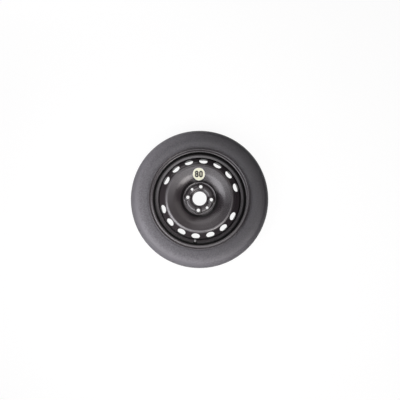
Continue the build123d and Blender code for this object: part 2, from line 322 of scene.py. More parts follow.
enamelLook = {
    "black": (0.0180, 0.0140, 0.0170, 1), "dustAndLight": (0.068, 0.058, 0.0605, 1), "paintedShade": (0.004, 0.004, 0.004, 1),
    "highlightGrey": (0.145, 0.138, 0.144, 1), "roughness": 0.20, "litSideRange": (-0.12, 0.2),
    "haze": 9, "specks": 1500, "smear": 38, "peel": 420, "waves": 60,  # scales of the patterns, finer as they rise
    "shadeRings": [(0.1635, 0.1665, 0.170, 0.1725, 1.0), (0.1795, 0.183, 0.1895, 0.192, 1.0)],  # painted shade in the well and the bead seat
    "cornerShadeRings": [(0.0565, 0.059, 0.0615, 0.064, 0.7), (0.0685, 0.0705, 0.0745, 0.081, 0.92)],  # painted shade at the hub and the foot of the bowl
    "highlightRings": [(0.128, 0.134, 0.137, 0.143, 1.0), (0.2025, 0.2055, 0.22, 0.23, 1.0)],  # painted highlights on the ridge and the lip
    "hubHighlightRings": [(0.0645, 0.0662, 0.0672, 0.069, 0.3)],  # painted highlight line round the hub
}


# Gloss paint, dust in patches; painted light on the lit side, painted shade in grooves and corners, painted highlights
# on ridge, lip and hub
def enamelMaterial():
    look = enamelLook
    material, wire, shader = newMaterial("blackEnamel", IOR=1.5, Specular_IOR_Level=0.95)
    place, (x, y, _) = objectPlace(wire)
    radius = (x * x + y * y) ** 0.5
    # painted shade: grooves and corners are darkened towards a near-black colour
    groove, corner = ringShare(radius, look["shadeRings"]), ringShare(radius, look["cornerShadeRings"])
    # painted light: the share of the paler colour grows towards the lit side
    dustAndLight = litSideRamp(x, y, *look["litSideRange"])
    litSide = dustAndLight * (1 - groove)
    # painted highlights: paler lines on the ridge and the lip, strongest on the lit side, and round the hub
    paintedHighlight = ringShare(radius, look["highlightRings"]) * (litSide * 0.9 + 0.1) + ringShare(radius, look["hubHighlightRings"])
    haze = noise(place, look["haze"], 5).ramp(0.42, 0.72)
    specks = noise(place, look["specks"], 2).ramp(0.66, 0.74) * haze
    smear = noise(place, look["smear"], 4, 0.6)
    # real dust in the haze and specks, painted light on the lit side
    dustAndLightShare = haze * 0.1 + specks * 0.3 + litSide * 0.55
    paint = paintedHighlight.mix(dustAndLightShare.mix(look["black"], look["dustAndLight"]), look["highlightGrey"])
    waves = bump(noise(place, look["waves"], 2), 0.04, 0.0012)
    feed(
        wire, shader,
        # painted shade in the grooves and corners over the paint
        Base_Color=(groove + corner).mix(paint, look["paintedShade"]),
        Roughness=look["roughness"] + smear * 0.05 + haze * 0.03 + specks * 0.1 + groove * 0.3,
        Metallic=groove * (0.8 - dustAndLight * 0.45),  # painted shade: takes the gloss off the shaded grooves, as a metal this dark hardly reflects
        Normal=bump(noise(place, look["peel"], 1.5), 0.08, 0.0003, waves),
    )
    return material


rubberLook = {
    "rubber": (0.0185, 0.0175, 0.021, 1), "bloomAndLight": (0.190, 0.186, 0.202, 1), "roughness": 0.44,
    "litSideRange": (-0.30, 0.3), "outerWallRange": (0.235, 0.268), "treadRange": (0.2765, 0.2785),
    "clouds": 16, "mottle": 180, "rings": 420.0, "grain": 2400,  # scales of the patterns, finer as they rise
}


# Rubber with painted light: paler on the lit side, more on the outer part of the sidewall there, mottled; a faint real
# mottle all round
def tyreMaterial():
    look = rubberLook
    material, wire, shader = newMaterial("mouldedRubber", IOR=1.5, Specular_IOR_Level=0.68)
    place, (x, y, _) = objectPlace(wire)
    radius = (x * x + y * y) ** 0.5
    # painted light: the rubber is paler towards the lit side
    litSide = litSideRamp(x, y, *look["litSideRange"])
    outerWall, tread = radius.ramp(*look["outerWallRange"]), radius.ramp(*look["treadRange"])
    clouds = noise(place, look["clouds"], 5, 0.6).ramp(0.4, 0.75)
    mottle = noise(place, look["mottle"], 5, 0.65).ramp(0.33, 0.67)
    grain = noise(place, look["grain"], 3)
    ringInputs = {"W": radius, "Scale": look["rings"], "Detail": 3.0}
    rings = wire.node("ShaderNodeTexNoise", {"noise_dimensions": "1D"}, ringInputs)
    # painted light on the lit side, more on the outer sidewall; clouds and mottle add a faint real tone
    bloomAndLight = litSide * (0.45 + outerWall * 0.6 + mottle * 0.36) + clouds * 0.05 + mottle * 0.05
    feed(
        wire, shader,
        Base_Color=bloomAndLight.mix(look["rubber"], look["bloomAndLight"]),
        Roughness=look["roughness"] + clouds * 0.1 + grain * 0.06 + tread * 0.12,
        Normal=bump(grain, 0.12, 0.0003, bump(rings, 0.14, 0.0005, bump(mottle, 0.1, 0.0008))),
    )
    return material


# width, height, gap and stroke of the digits are halves, in millimetres
stickerLook = {
    "film": (0.90, 0.91, 0.70, 1), "edge": (0.94, 0.95, 0.84, 1), "aged": (0.82, 0.80, 0.54, 1),
    "ink": (0.012, 0.011, 0.006, 1), "borderRange": (22.6, 24.2), "digitWide": 4.6, "digitHigh": 10.0,
    "digitGap": 8.6, "stroke": 3.2, "topNarrower": 0.3, "rounds": (3.6, 3.8, 4.3), "inkEdge": 0.25,
    "fibre": 900, "wear": 1100, "ageing": 45,  # scales of the patterns, finer as they rise
}


# Film with two digits, drawn as distances to rounded boxes: u and v run along the given directions, in millimetres.
def stickerMaterial(centre, right, up):
    look = stickerLook
    material, wire, shader = newMaterial("stickerFilm", IOR=1.45)
    place, axes = objectPlace(wire)

    def along(direction):
        parts = [(axis - middle) * (part / mm) for axis, middle, part in zip(axes, centre, direction)]
        return parts[0] + parts[1] + parts[2]

    # distance to the outline of a rounded box, less half the stroke's width
    def ringDistance(x, y, wide, high, corner):
        qx, qy = abs(x) - (wide - corner), abs(y) - (high - corner)
        outside = (qx.max(0.0) ** 2 + qy.max(0.0) ** 2) ** 0.5
        return abs(outside + qx.max(qy).min(0.0) - corner) - look["stroke"]

    u, v = along(right), along(up)
    wide, high, gap, rounds = look["digitWide"], look["digitHigh"], look["digitGap"], look["rounds"]
    eight = ringDistance(u + gap, v - high / 2, wide - look["topNarrower"], high / 2, rounds[0])
    eight = eight.min(ringDistance(u + gap, v + high / 2, wide, high / 2, rounds[1]))
    digits = eight.min(ringDistance(u - gap, v, wide, high, rounds[2]))
    printed = 1 - digits.ramp(-look["inkEdge"], look["inkEdge"])
    fibre, wear = noise(place, look["fibre"], 3), noise(place, look["wear"], 2).ramp(0.3, 0.5)
    border = ((u * u + v * v) ** 0.5).ramp(*look["borderRange"])
    ageing = noise(place, look["ageing"], 4).ramp(0.35, 0.8) * 0.15
    film = ageing.mix(border.mix(look["film"], look["edge"]), look["aged"])
    feed(
        wire, shader,
        Base_Color=(printed * (0.85 + wear * 0.15)).mix(film, look["ink"]),
        Roughness=0.38 + fibre * 0.1 - printed * 0.06,
        Normal=bump(fibre, 0.06, 0.0002),
    )
    return material


# name: colour, dirt, roughness, metallic, scale of patches, scale of grain
smallLooks = {
    "valveRubber": (grey(0.020), grey(0.05, -0.03), 0.50, 0.0, 260, 3000),
    "turnedBrass": ((0.62, 0.43, 0.16, 1), (0.36, 0.24, 0.10, 1), 0.26, 1.0, 420, 2600),
    "platedBrass": ((0.66, 0.60, 0.44, 1), (0.45, 0.38, 0.25, 1), 0.24, 1.0, 500, 2600),
    "springWire": (grey(0.55), grey(0.32), 0.22, 1.0, 700, 4000),
    "sealRubber": (grey(0.025), grey(0.06), 0.62, 0.0, 500, 4000),
    "sealRing": ((0.50, 0.03, 0.02, 1), (0.33, 0.03, 0.02, 1), 0.40, 0.0, 600, 4000),
    "capPlastic": (grey(0.26, 0.01), grey(0.17, -0.02), 0.42, 0.0, 330, 2600),
}


# Finish of a small piece: dirt in soft patches over one colour, with a fine grain
def smallMaterial(name):
    colour, dirt, roughness, metallic, patchScale, grainScale = smallLooks[name]
    material, wire, shader = newMaterial(name, Metallic=metallic, IOR=1.5)
    place, _ = objectPlace(wire)
    patches, grain = noise(place, patchScale, 4).ramp(0.35, 0.75), noise(place, grainScale, 3)
    feed(
        wire, shader,
        Base_Color=(patches * 0.6).mix(colour, dirt),
        Roughness=roughness + patches * 0.1 + grain * 0.06,
        Normal=bump(grain, 0.15, 0.0001),
    )
    return material


# Disc

discShape = {
    "wall": 3.2, "bore": 29.05, "collarWidth": 5.5, "landHeight": 4.0, "innerFlank": 7.0, "outerFlank": 7.5,
    "landMargin": 3.0, "contactWidth": 8.0, "bowlRun": 21.0, "bowlHeight": 16.3, "crestRadius": 136.0,
    "crestHeight": 27.5, "ventSlope": math.radians(34), "skirtOuter": 168.75, "skirtLength": 35.6,
    "boltCircle": 98.0, "valleyRound": 5.0, "landRound": 10.0, "footRound": 9.0, "bowlRound": 97.0,
    "crestRound": 15.5, "shoulderRound": 2.0,
    "bossRise": 2.5, "bossRadius": 12.5, "bossReach": 22.0, "bossFade": 3.0, "bossTaper": math.radians(35),
    "bossBlend": 1.6, "boltHole": 6.75, "boltSeat": 9.1, "seatAngle": math.radians(30), "locatingHole": 5.25,
    "edge": 0.45, "ventWide": 17.0, "ventHigh": 13.40, "ventInset": 15.60, "ventEdge": 0.55,
    "hubRow": (31.4, 70.0), "ventRow": (12.0, 0.8), "endBand": 1.2, "columns": 256, "hubCells": 8, "ventCells": 16,
    "rows": {"bore": 2, "hub": 34, "bowl": 54, "vents": 22, "skirt": 20},
}


# Inboard side of the pressed section, from the bore over hub, bowl and crest down to the end of the skirt
def discPath(d):
    collarEnd = d["bore"] + d["collarWidth"]
    landEnd = d["boltCircle"] / 2 + d["landMargin"]
    contactStart = landEnd + d["outerFlank"]
    contactEnd = contactStart + d["contactWidth"]
    skirt = d["skirtOuter"] - d["wall"]
    corner = d["crestHeight"] - (skirt - d["crestRadius"]) * math.tan(d["ventSlope"])
    corners = [
        (d["bore"], 0), (collarEnd, 0), (collarEnd + d["innerFlank"], d["landHeight"]), (landEnd, d["landHeight"]),
        (contactStart, 0), (contactEnd, 0), (contactEnd + d["bowlRun"], d["bowlHeight"]),
        (d["crestRadius"], d["crestHeight"]), (skirt, corner), (skirt, corner - d["skirtLength"]),
    ]
    radii = [d["valleyRound"], d["landRound"], d["landRound"], d["valleyRound"]]
    radii += [d["footRound"], d["bowlRound"], d["crestRound"], d["shoulderRound"]]
    return measured(roundedPath(corners, radii))


discLine = discPath(discShape)


def soft(x, width):  # x where it is positive and 0 elsewhere, rounded over the width
    return (x + np.sqrt(x * x + width * width)) / 2


# Point of the pressed disc: the inboard path and its offset by the wall are turned about the axis; near a bolt the
# outboard face rises to a flat boss with sloping sides, joined by a rounded maximum.
def discPoint(angle, s, lift):
    d = discShape
    r, z, nr, nz = at(discLine, s)
    topR, topZ = r + d["wall"] * nr, z + d["wall"] * nz
    fold = (angle + turn / 8) % (turn / 4) - turn / 8  # from the nearest of the four bolts
    reach = np.hypot(topR * np.cos(fold) - d["boltCircle"] / 2, topR * np.sin(fold))
    boss = d["landHeight"] + d["wall"] + d["bossRise"]
    boss = boss - soft(reach - d["bossRadius"], d["bossBlend"]) / math.tan(d["bossTaper"])
    near = np.clip((d["bossReach"] - reach) / d["bossFade"], 0, 1)
    topZ = topZ + near * soft(boss - topZ, d["bossBlend"] / 2)
    return turned(r + (topR - r) * lift, z + (topZ - z) * lift, angle)


# Disc: a band round the bore and one round the skirt's end, the plain bowl between a row of hub cells and a row of
# vent cells, all on the same columns.
def makeDisc(material):
    d, line, rows = discShape, discLine, discShape["rows"]
    angles = np.linspace(0, turn, d["columns"] + 1)
    total = line["s"][-1]
    rising = line["s"] < total - d["skirtLength"] - 1  # stretch before the skirt, where the radius grows

    def placeOf(radius):
        return float(np.interp(radius, line["r"][rising], line["s"][rising]))

    hubStart, hubEnd = [placeOf(radius) for radius in d["hubRow"]]
    ventRadius = d["skirtOuter"] - d["ventInset"]
    ventStart = placeOf(ventRadius - d["ventRow"][0])
    ventEnd = placeOf(ventRadius) + d["ventHigh"] + d["ventRow"][1]
    borePlaces = spread(line, d["endBand"], hubStart, rows["bore"])
    skirtPlaces = spread(line, ventEnd, total - d["endBand"], rows["skirt"])[::-1]
    patches = [
        endBand(discPoint, angles, borePlaces, 0, d["wall"], d["edge"]),
        endBand(discPoint, angles, skirtPlaces, total, d["wall"], d["edge"]),
    ]
    patches += plainCell(discPoint, angles, spread(line, hubEnd, ventStart, rows["bowl"]))

    # a bolt hole opens through a cone seat with a rounded mouth and foot, the other holes have rounded edges only
    thick, lip = d["wall"] + d["bossRise"], d["boltSeat"] - d["boltHole"]
    seatDepth = lip / math.tan(d["seatAngle"])
    grow = np.r_[lip + 0.5, lip + 0.2, lip, lip * 0.66, lip * 0.33, 0, 0, 0.13, d["edge"]]
    drop = np.r_[0, 0.06, 0.25, seatDepth * 0.36, seatDepth * 0.68, seatDepth, thick - d["edge"], thick - 0.13, thick]
    bolt = {"wide": d["boltHole"], "high": d["boltHole"], "wall": (grow, 1 - drop / thick)}
    locating = {"wide": d["locatingHole"], "high": d["locatingHole"], "wall": roundedEdge(d["wall"], d["edge"])}
    vent = {"wide": d["ventWide"], "high": d["ventHigh"], "wall": roundedEdge(d["wall"], d["ventEdge"])}

    # one row of equal cells round the axis, some of them with a hole in the middle
    def cellRow(count, places, radius, holes, lean):
        for cell in range(count):
            middle = cell * turn / count
            own = middle + np.linspace(-0.5, 0.5, d["columns"] // count + 1) * turn / count
            if cell in holes:
                hole = dict(holes[cell], angle=middle, r=radius, s=placeOf(radius), lean=lean)
                patches.append(holeCell(discPoint, own, places, hole))
            else:
                patches.extend(plainCell(discPoint, own, places))

    hubHoles = {0: bolt, 2: bolt, 4: bolt, 6: bolt, 3: locating, 7: locating}
    hubPlaces = spread(line, hubStart, hubEnd, rows["hub"])
    cellRow(d["hubCells"], hubPlaces, d["boltCircle"] / 2, hubHoles, 1.0)
    ventHoles = {cell: vent for cell in range(d["ventCells"]) if cell % 8}  # two places opposite each other stay plain
    ventPlaces = spread(line, ventStart, ventEnd, rows["vents"])
    cellRow(d["ventCells"], ventPlaces, ventRadius, ventHoles, math.cos(d["ventSlope"]))
    dress(shell("pressedDisc", patches), "wheel", material, "disc")


# Rim

rimShape = {
    "width": 101.6, "wall": 2.3, "middle": -28.0, "seat": 190.1, "seatWidth": 18.5, "seatTaper": math.radians(5),
    "seatCorner": 5.5, "flangeHeight": 17.3, "curl": 8.5, "lip": 1.6, "lipRound": 1.0, "humpHeight": 1.2,
    "humpRun": 6.0, "humpRound": 4.0, "wellDepth": 19.0, "wellRound": 2.5, "shelfTilt": math.radians(11),
    "backTilt": math.radians(18), "valveDrop": 10.3, "valveHole": 5.75, "valveEdge": 0.4, "valveRow": 7.6,
    "columns": 256, "valveCell": 16, "rows": {"front": 44, "valve": 12, "back": 74},
}


# Tyre side of the rolled section from the outer lip over flange, seat, hump and well to the inner lip
def rimPath(d):
    front, back = d["middle"] + d["width"] / 2, d["middle"] - d["width"] / 2
    flange, lip = d["seat"] + d["flangeHeight"], d["curl"] + d["lip"]
    seatEnd = d["seat"] - d["seatWidth"] * math.tan(d["seatTaper"])
    hump, humpSide = seatEnd + d["humpHeight"], d["seatWidth"] + d["humpRun"]
    well = d["seat"] - d["wellDepth"]
    corners = [
        (flange, front + lip), (flange, front), (d["seat"], front), (seatEnd, front - d["seatWidth"]),
        (hump, front - humpSide), (well, front - humpSide - (hump - well) * math.tan(d["shelfTilt"])),
        (well, back + humpSide + (hump - well) * math.tan(d["backTilt"])), (hump, back + humpSide),
        (seatEnd, back + d["seatWidth"]), (d["seat"], back), (flange, back), (flange, back - lip),
    ]
    half = [d["curl"], d["seatCorner"], d["humpRound"], d["humpRound"], d["wellRound"]]
    return measured(roundedPath(corners, half + half[::-1])), (hump, front - humpSide)


rimLine, rimHump = rimPath(rimShape)


# Point of the rolled rim: the tyre side path, moved to its right by lift times the wall, turned about the axis
def rimPoint(angle, s, lift):
    r, z, nr, nz = at(rimLine, s)
    return turned(r - nr * rimShape["wall"] * lift, z - nz * rimShape["wall"] * lift, angle)


# Rim: a band from each lip to a row in the shelf, which is plain but for the cell that opens to the valve hole
def makeRim(material):
    d, line, rows = rimShape, rimLine, rimShape["rows"]
    total, tilt, half = line["s"][-1], d["shelfTilt"], d["valveCell"] // 2
    angles = np.linspace(0, turn, d["columns"] + 1) - turn / 4
    holeR, holeZ = rimHump[0] - d["valveDrop"] * math.cos(tilt), rimHump[1] - d["valveDrop"] * math.sin(tilt)
    place = float(line["s"][np.argmin(np.hypot(line["r"] - holeR, line["z"] - holeZ))])
    hole = {"wide": d["valveHole"], "high": d["valveHole"], "wall": roundedEdge(d["wall"], d["valveEdge"])}
    hole.update(angle=-turn / 4, r=holeR, s=place, lean=-math.cos(tilt))
    start, end, tip = place - d["valveRow"], place + d["valveRow"], d["lipRound"] + 0.2
    places = spread(line, start, end, rows["valve"])
    frontPlaces, backPlaces = spread(line, tip, start, rows["front"]), spread(line, end, total - tip, rows["back"])
    own = np.linspace(-half, half, d["valveCell"] + 1) * turn / d["columns"] - turn / 4
    patches = [
        endBand(rimPoint, angles, frontPlaces, 0, d["wall"], d["lipRound"]),
        endBand(rimPoint, angles, backPlaces[::-1], total, d["wall"], d["lipRound"]),
        holeCell(rimPoint, own, places, hole),
    ]
    patches += plainCell(rimPoint, angles[half:-half], places)
    dress(shell("rolledRim", patches), "wheel", material, "rim")


# Weld beads

weldShape = {
    "count": 8, "arc": math.radians(30), "leg": 3.9, "outer": 168.72, "top": -28.12, "ripples": 26, "ripple": 0.07,
    "cap": 0.022, "endSize": 0.01, "rows": 121, "columns": 11,
}


# Bead: a corner with a bulging free side is carried round the axis; ripples swell the free side, and the section
# shrinks as a quarter ellipse towards both ends.
def makeWelds(material):
    d = weldShape
    along = np.linspace(-1, 1, d["rows"])
    along = np.sign(along) * np.abs(along) ** 0.8  # rows lie closer at the ends
    angle = along * d["arc"] / 2
    left = np.clip((d["arc"] / 2 - np.abs(angle)) / d["cap"], 0, 1)
    size = np.sqrt(1 - (1 - left) ** 2) * (1 - d["endSize"]) + d["endSize"]
    swell = 1 - d["ripple"] + d["ripple"] * np.abs(np.sin(along * d["ripples"] * math.pi / 2)) ** 0.6
    t = np.linspace(0, math.pi / 2, d["columns"])
    legs = [[0, 0.5], [0, 0], [0.5, 0]]
    section = np.concatenate([np.stack([np.cos(t), np.sin(t)], axis=-1) ** 0.9, legs])
    free = np.r_[np.ones(len(t)), np.zeros(len(legs))]
    scale = d["leg"] * size[:, None] * (1 + (swell[:, None] - 1) * free)
    patches = []
    for bead in range(d["count"]):
        middle = bead * turn / d["count"] + d["arc"] / 2
        points = turned(d["outer"] - section[:, 0] * scale, d["top"] - section[:, 1] * scale, (angle + middle)[:, None])
        patches.append(gridPatch(points, closeV=True))
        for end in (points[0], points[-1]):
            patches.append(gridPatch(np.stack([end, np.broadcast_to(end.mean(axis=0), end.shape)]), closeV=True))
    dress(shell("weldBeads", patches), "wheel", material, "weld_beads")


# Tyre

tyreShape = {
    "radius": 288.5, "width": 127.0, "treadHalf": 46.0, "crownDrop": 7.5, "shoulderShare": 0.82,
    "shoulderInset": 4.6, "bulgeShare": 0.60, "lift": math.radians(45), "beadWidth": 17.5, "heelRound": 6.5,
    "fillerHeight": 14.0, "fillerDepth": 6.8, "sideWall": 7.0, "treadWall": 13.0, "innerDrop": 11.5,
    "innerInset": 5.5, "edgeDrop": 1.0, "edgeInset": 8.0, "beadFit": 0.1, "grooveWidth": 6.0, "grooveDepth": 5.6,
    "groovePitch": 21.0, "grooveRound": 0.8, "slots": 64, "slotWidth": 3.6, "slotDepth": 4.4, "slotStart": 32.0,
    "slotBevel": 0.0012, "slotColumns": 6, "ringPlaces": (214.5, 218.5, 262.0), "ringHeights": (0.55, 0.35, 0.45),
    "ringWidth": 0.7, "skinHeight": 8.0, "skinRows": 50, "insideRows": 18,
}


# Half section of the tyre from the crown's middle over tread edge and sidewall to the bead and back inside: arcs
# that leave along the arc before, with the grooves let into the crown as rounded steps.
def tyreHalf(d, rim):
    curlRadius = rim["seat"] + rim["flangeHeight"] - rim["curl"]
    curlPlace, curl = rim["width"] / 2 + rim["curl"], rim["curl"] + d["beadFit"]
    face, bead, side = rim["width"] / 2 - d["beadFit"], rim["seat"] + d["beadFit"], d["width"] / 2
    toe = (bead - d["beadWidth"] * math.tan(rim["seatTaper"]), face - d["beadWidth"])
    lift = (curlRadius + curl * math.sin(d["lift"]), curlPlace - curl * math.cos(d["lift"]))
    height = d["radius"] - rim["seat"]
    bulge = (rim["seat"] + d["bulgeShare"] * height, side)
    shoulder = (rim["seat"] + d["shoulderShare"] * height, side - d["shoulderInset"])
    edge = (d["radius"] - d["crownDrop"], d["treadHalf"])
    innerCrown = d["radius"] - d["treadWall"]
    filler = (rim["seat"] + d["fillerHeight"], face - d["fillerDepth"])
    innerBulge = (bulge[0], side - d["sideWall"])
    innerShoulder = (innerCrown - d["innerDrop"], side - d["sideWall"] - d["innerInset"])
    innerEdge = (innerCrown - d["edgeDrop"], d["treadHalf"] - d["edgeInset"])

    crown = tangentArc((d["radius"], 0), edge, (0, 1), 200)
    floor, groove, pitch = d["radius"] - d["grooveDepth"], d["grooveWidth"] / 2, d["groovePitch"]

    def onCrown(h):
        return float(np.interp(h, crown[:, 1], crown[:, 0])), h

    rib = crown[(crown[:, 1] > groove + 2) & (crown[:, 1] < pitch - groove - 2)]
    outer = crown[crown[:, 1] > pitch + groove + 2]
    low, high = d["grooveRound"], d["grooveRound"] / 2
    first = roundedPath([(floor, 0), (floor, groove), onCrown(groove), rib[0]], [low, high])
    second = [rib[-1], onCrown(pitch - groove), (floor, pitch - groove), (floor, pitch + groove)]
    second = roundedPath(second + [onCrown(pitch + groove), outer[0]], [high, low, low, high])
    upper = tangentArc(bulge, shoulder, (1, 0))
    top = tangentArc(shoulder, edge, upper[-1] - upper[-2])
    lower = tangentArc(bulge, lift, (-1, 0))
    bow = np.linspace(d["lift"], 0, 16)[:, None]
    contact = np.array([[curlRadius, curlPlace]]) + curl * np.concatenate([np.sin(bow), -np.cos(bow)], axis=1)
    heel = roundedPath([contact[-1], (bead, face), toe], [d["heelRound"]])
    sideIn = tangentArc(innerBulge, filler, (-1, 0))
    sideUp = tangentArc(innerBulge, innerShoulder, (1, 0))
    cornerIn = tangentArc(innerShoulder, innerEdge, sideUp[-1] - sideUp[-2])
    crownIn = tangentArc((innerCrown, 0), innerEdge, (0, 1))
    outside = [first, rib, second, outer, top[::-1], upper[::-1], lower, contact, heel]
    return measured(np.concatenate(outside + [sideIn[::-1], sideUp, cornerIn, crownIn[::-1]]))


# Tyre: the half section and its mirror image are turned about the axis; moulded rings move the sidewall along its
# normal as bell curves; shoulder slots pull what stands above their floor down to it.
def makeTyre(material):
    d = tyreShape
    line = tyreHalf(d, rimShape)
    fromSeat, fromFace = line["r"] - rimShape["seat"] - d["skinHeight"], line["z"] - rimShape["width"] / 2
    skinEnd = int(np.argmin(np.hypot(fromSeat, fromFace)))  # the skin that shows ends a little above the seat
    skin, slotFloor = line["s"][skinEnd], d["radius"] - d["crownDrop"] - d["slotDepth"]
    r, z = line["r"][:skinEnd], line["z"][:skinEnd]
    wall = z > d["treadHalf"]
    rings = [float(line["s"][:skinEnd][wall][np.argmin(np.abs(r[wall] - place))]) for place in d["ringPlaces"]]
    slotPlace = float(line["s"][:skinEnd][np.argmax(z > d["slotStart"])])
    near = np.array([-1.4, -0.7, 0, 0.7, 1.4]) * d["ringWidth"]
    forced = np.concatenate([place + near for place in rings] + [[slotPlace - 0.3, slotPlace + 0.3]])
    s = np.union1d(spread(line, 0, skin, d["skinRows"], 9), forced)
    s = np.r_[s, spread(line, skin, line["s"][-1], d["insideRows"], 6)[1:]]
    r, h, nr, nz = at(line, s)
    rise = sum(up * np.exp(-(((s - place) / d["ringWidth"]) ** 2)) for place, up in zip(rings, d["ringHeights"]))
    r, h = r - nr * rise, h - nz * rise
    deep = np.where((s <= skin) & (h > d["slotStart"]), np.maximum(r - slotFloor, 0), 0)
    r, h, deep = np.r_[r, r[-2:0:-1]], np.r_[h, -h[-2:0:-1]], np.r_[deep, deep[-2:0:-1]]

    half = d["slotWidth"] / 2 / (d["radius"] - d["crownDrop"])
    pitch, bevel = turn / d["slots"], d["slotBevel"]
    slot = np.r_[-half - bevel, -half + bevel, half - bevel, half + bevel]
    block = np.linspace(half + bevel, pitch - half - bevel, d["slotColumns"])[1:-1]
    angle = (np.arange(d["slots"])[:, None] * pitch + np.r_[slot, block]).ravel()[:, None]
    cut = np.tile(np.r_[0, 1, 1, 0, 0 * block], d["slots"])[:, None]
    points = turned(r - cut * deep, h + rimShape["middle"], angle)
    dress(shell("tyreMoulding", [gridPatch(points, True, True)], 40), "wheel", material, "tyre")


# Sticker

stickerShape = {
    "radius": 25.0, "place": 100.0, "angle": math.radians(97.6), "gap": 0.05, "film": 0.25, "edge": 0.1,
    "rows": 25, "columns": 96,
}


# Sticker: a polar patch whose points take the height of the bowl's outer face at their distance from the axis
def makeSticker(right, up):
    d, line, wall = stickerShape, discLine, discShape["wall"]
    bowl = np.abs(line["r"] - d["place"]) < d["radius"] + 5  # stretch of the disc's path under the sticker
    faceR, faceZ = (line["r"] + wall * line["nr"])[bowl], (line["z"] + wall * line["nz"])[bowl]
    middle = [d["place"] * math.cos(d["angle"]), d["place"] * math.sin(d["angle"])]
    rings, full, edge = np.linspace(0, d["radius"] - d["edge"], d["rows"]), d["gap"] + d["film"], d["edge"]
    rho = np.r_[rings, d["radius"] - edge * 0.3, d["radius"], d["radius"], rings[::-1]][:, None]
    lift = np.r_[0 * rings + full, full - edge * 0.3, full - edge, d["gap"], 0 * rings + d["gap"]][:, None]
    aim = np.linspace(0, turn, d["columns"] + 1)[:-1]
    x, y = middle[0] + rho * np.cos(aim), middle[1] + rho * np.sin(aim)
    z = np.interp(np.hypot(x, y), faceR, faceZ) + lift
    piece = shell("speedSticker", [gridPatch(np.stack([x, y, z], axis=-1), closeV=True)], 30)
    centre = [middle[0] * mm, middle[1] * mm, float(np.interp(d["place"], faceR, faceZ)) * mm]
    dress(piece, "wheel", stickerMaterial(centre, right, up), "speed_sticker")


# Valve

valveShape = {
    "fit": 0.1, "bulb": 7.2, "bulbLength": 8.0, "bulbTaper": 1.6, "bearing": 6.4, "bearingDepth": 0.8,
    "shoulder": 6.6, "shoulderHeight": 2.2, "neck": 5.6, "neckHeight": 5.5, "rubberHeight": 20.5, "tip": 4.8,
    "insert": 3.0, "insertHeight": 31.0, "thread": 3.85, "threadPitch": 0.79375, "threadDepth": 0.3, "chamfer": 0.5,
    "coreBore": 2.65, "coreDepth": 7.0, "throat": 2.3, "throatStart": 17.0, "throatLead": 1.0, "throatCone": 0.35,
    "passage": 1.9, "bond": 0.03, "cap": 4.75, "capStart": 21.4, "capTop": 33.2, "capBore": 3.94, "capCeiling": 31.9,
    "flutes": 18, "fluteDepth": 0.24, "columns": 72, "rubberRows": 90, "insertRows": 330, "capRows": 110,
    "rubberRounds": (0.2, 0.6, 0.6, 0.2, 0.1, 0.1, 0.1, 0.3, 1.0, 2.0, 0.7, 0.2), "insertRound": 0.05,
    "capRounds": (1.2, 0.35, 0.3, 0.2),
}


# Points of (radius, height) turned about the valve's axis, which stands square on the rim's shelf
def onValve(r, h, angle):
    tilt, wall, drop = rimShape["shelfTilt"], rimShape["wall"], rimShape["valveDrop"]
    away = rimHump[0] - drop * math.cos(tilt) - wall * math.sin(tilt)
    base = rimHump[1] - drop * math.sin(tilt) + wall * math.cos(tilt)
    r, h, angle = np.broadcast_arrays(r, h, angle)
    x, y = r * np.cos(angle), r * np.sin(angle)
    across, upwards = y * math.cos(tilt) + h * math.sin(tilt), h * math.cos(tilt) - y * math.sin(tilt)
    return np.stack([x, across - away, upwards + base], axis=-1)


# A closed or pole to pole path of (radius, height), turned on the valve's axis, with cuts into its radius
def valveTurning(name, corners, radii, count, closed, cut=None):
    line = measured(roundedPath(corners, radii, 8), 0.02)
    s = spread(line, 0, line["s"][-1], count, 1.0)
    r, h, _, _ = at(line, s[:-1] if closed else s)
    angle = np.linspace(0, turn, valveShape["columns"] + 1)[:-1]
    r, h = r[:, None] + 0 * angle, h[:, None] + 0 * angle
    if cut:
        r = r - cut(r, h, angle)
    return shell(name, [gridPatch(onValve(r, h, angle), closed, True)], 50)


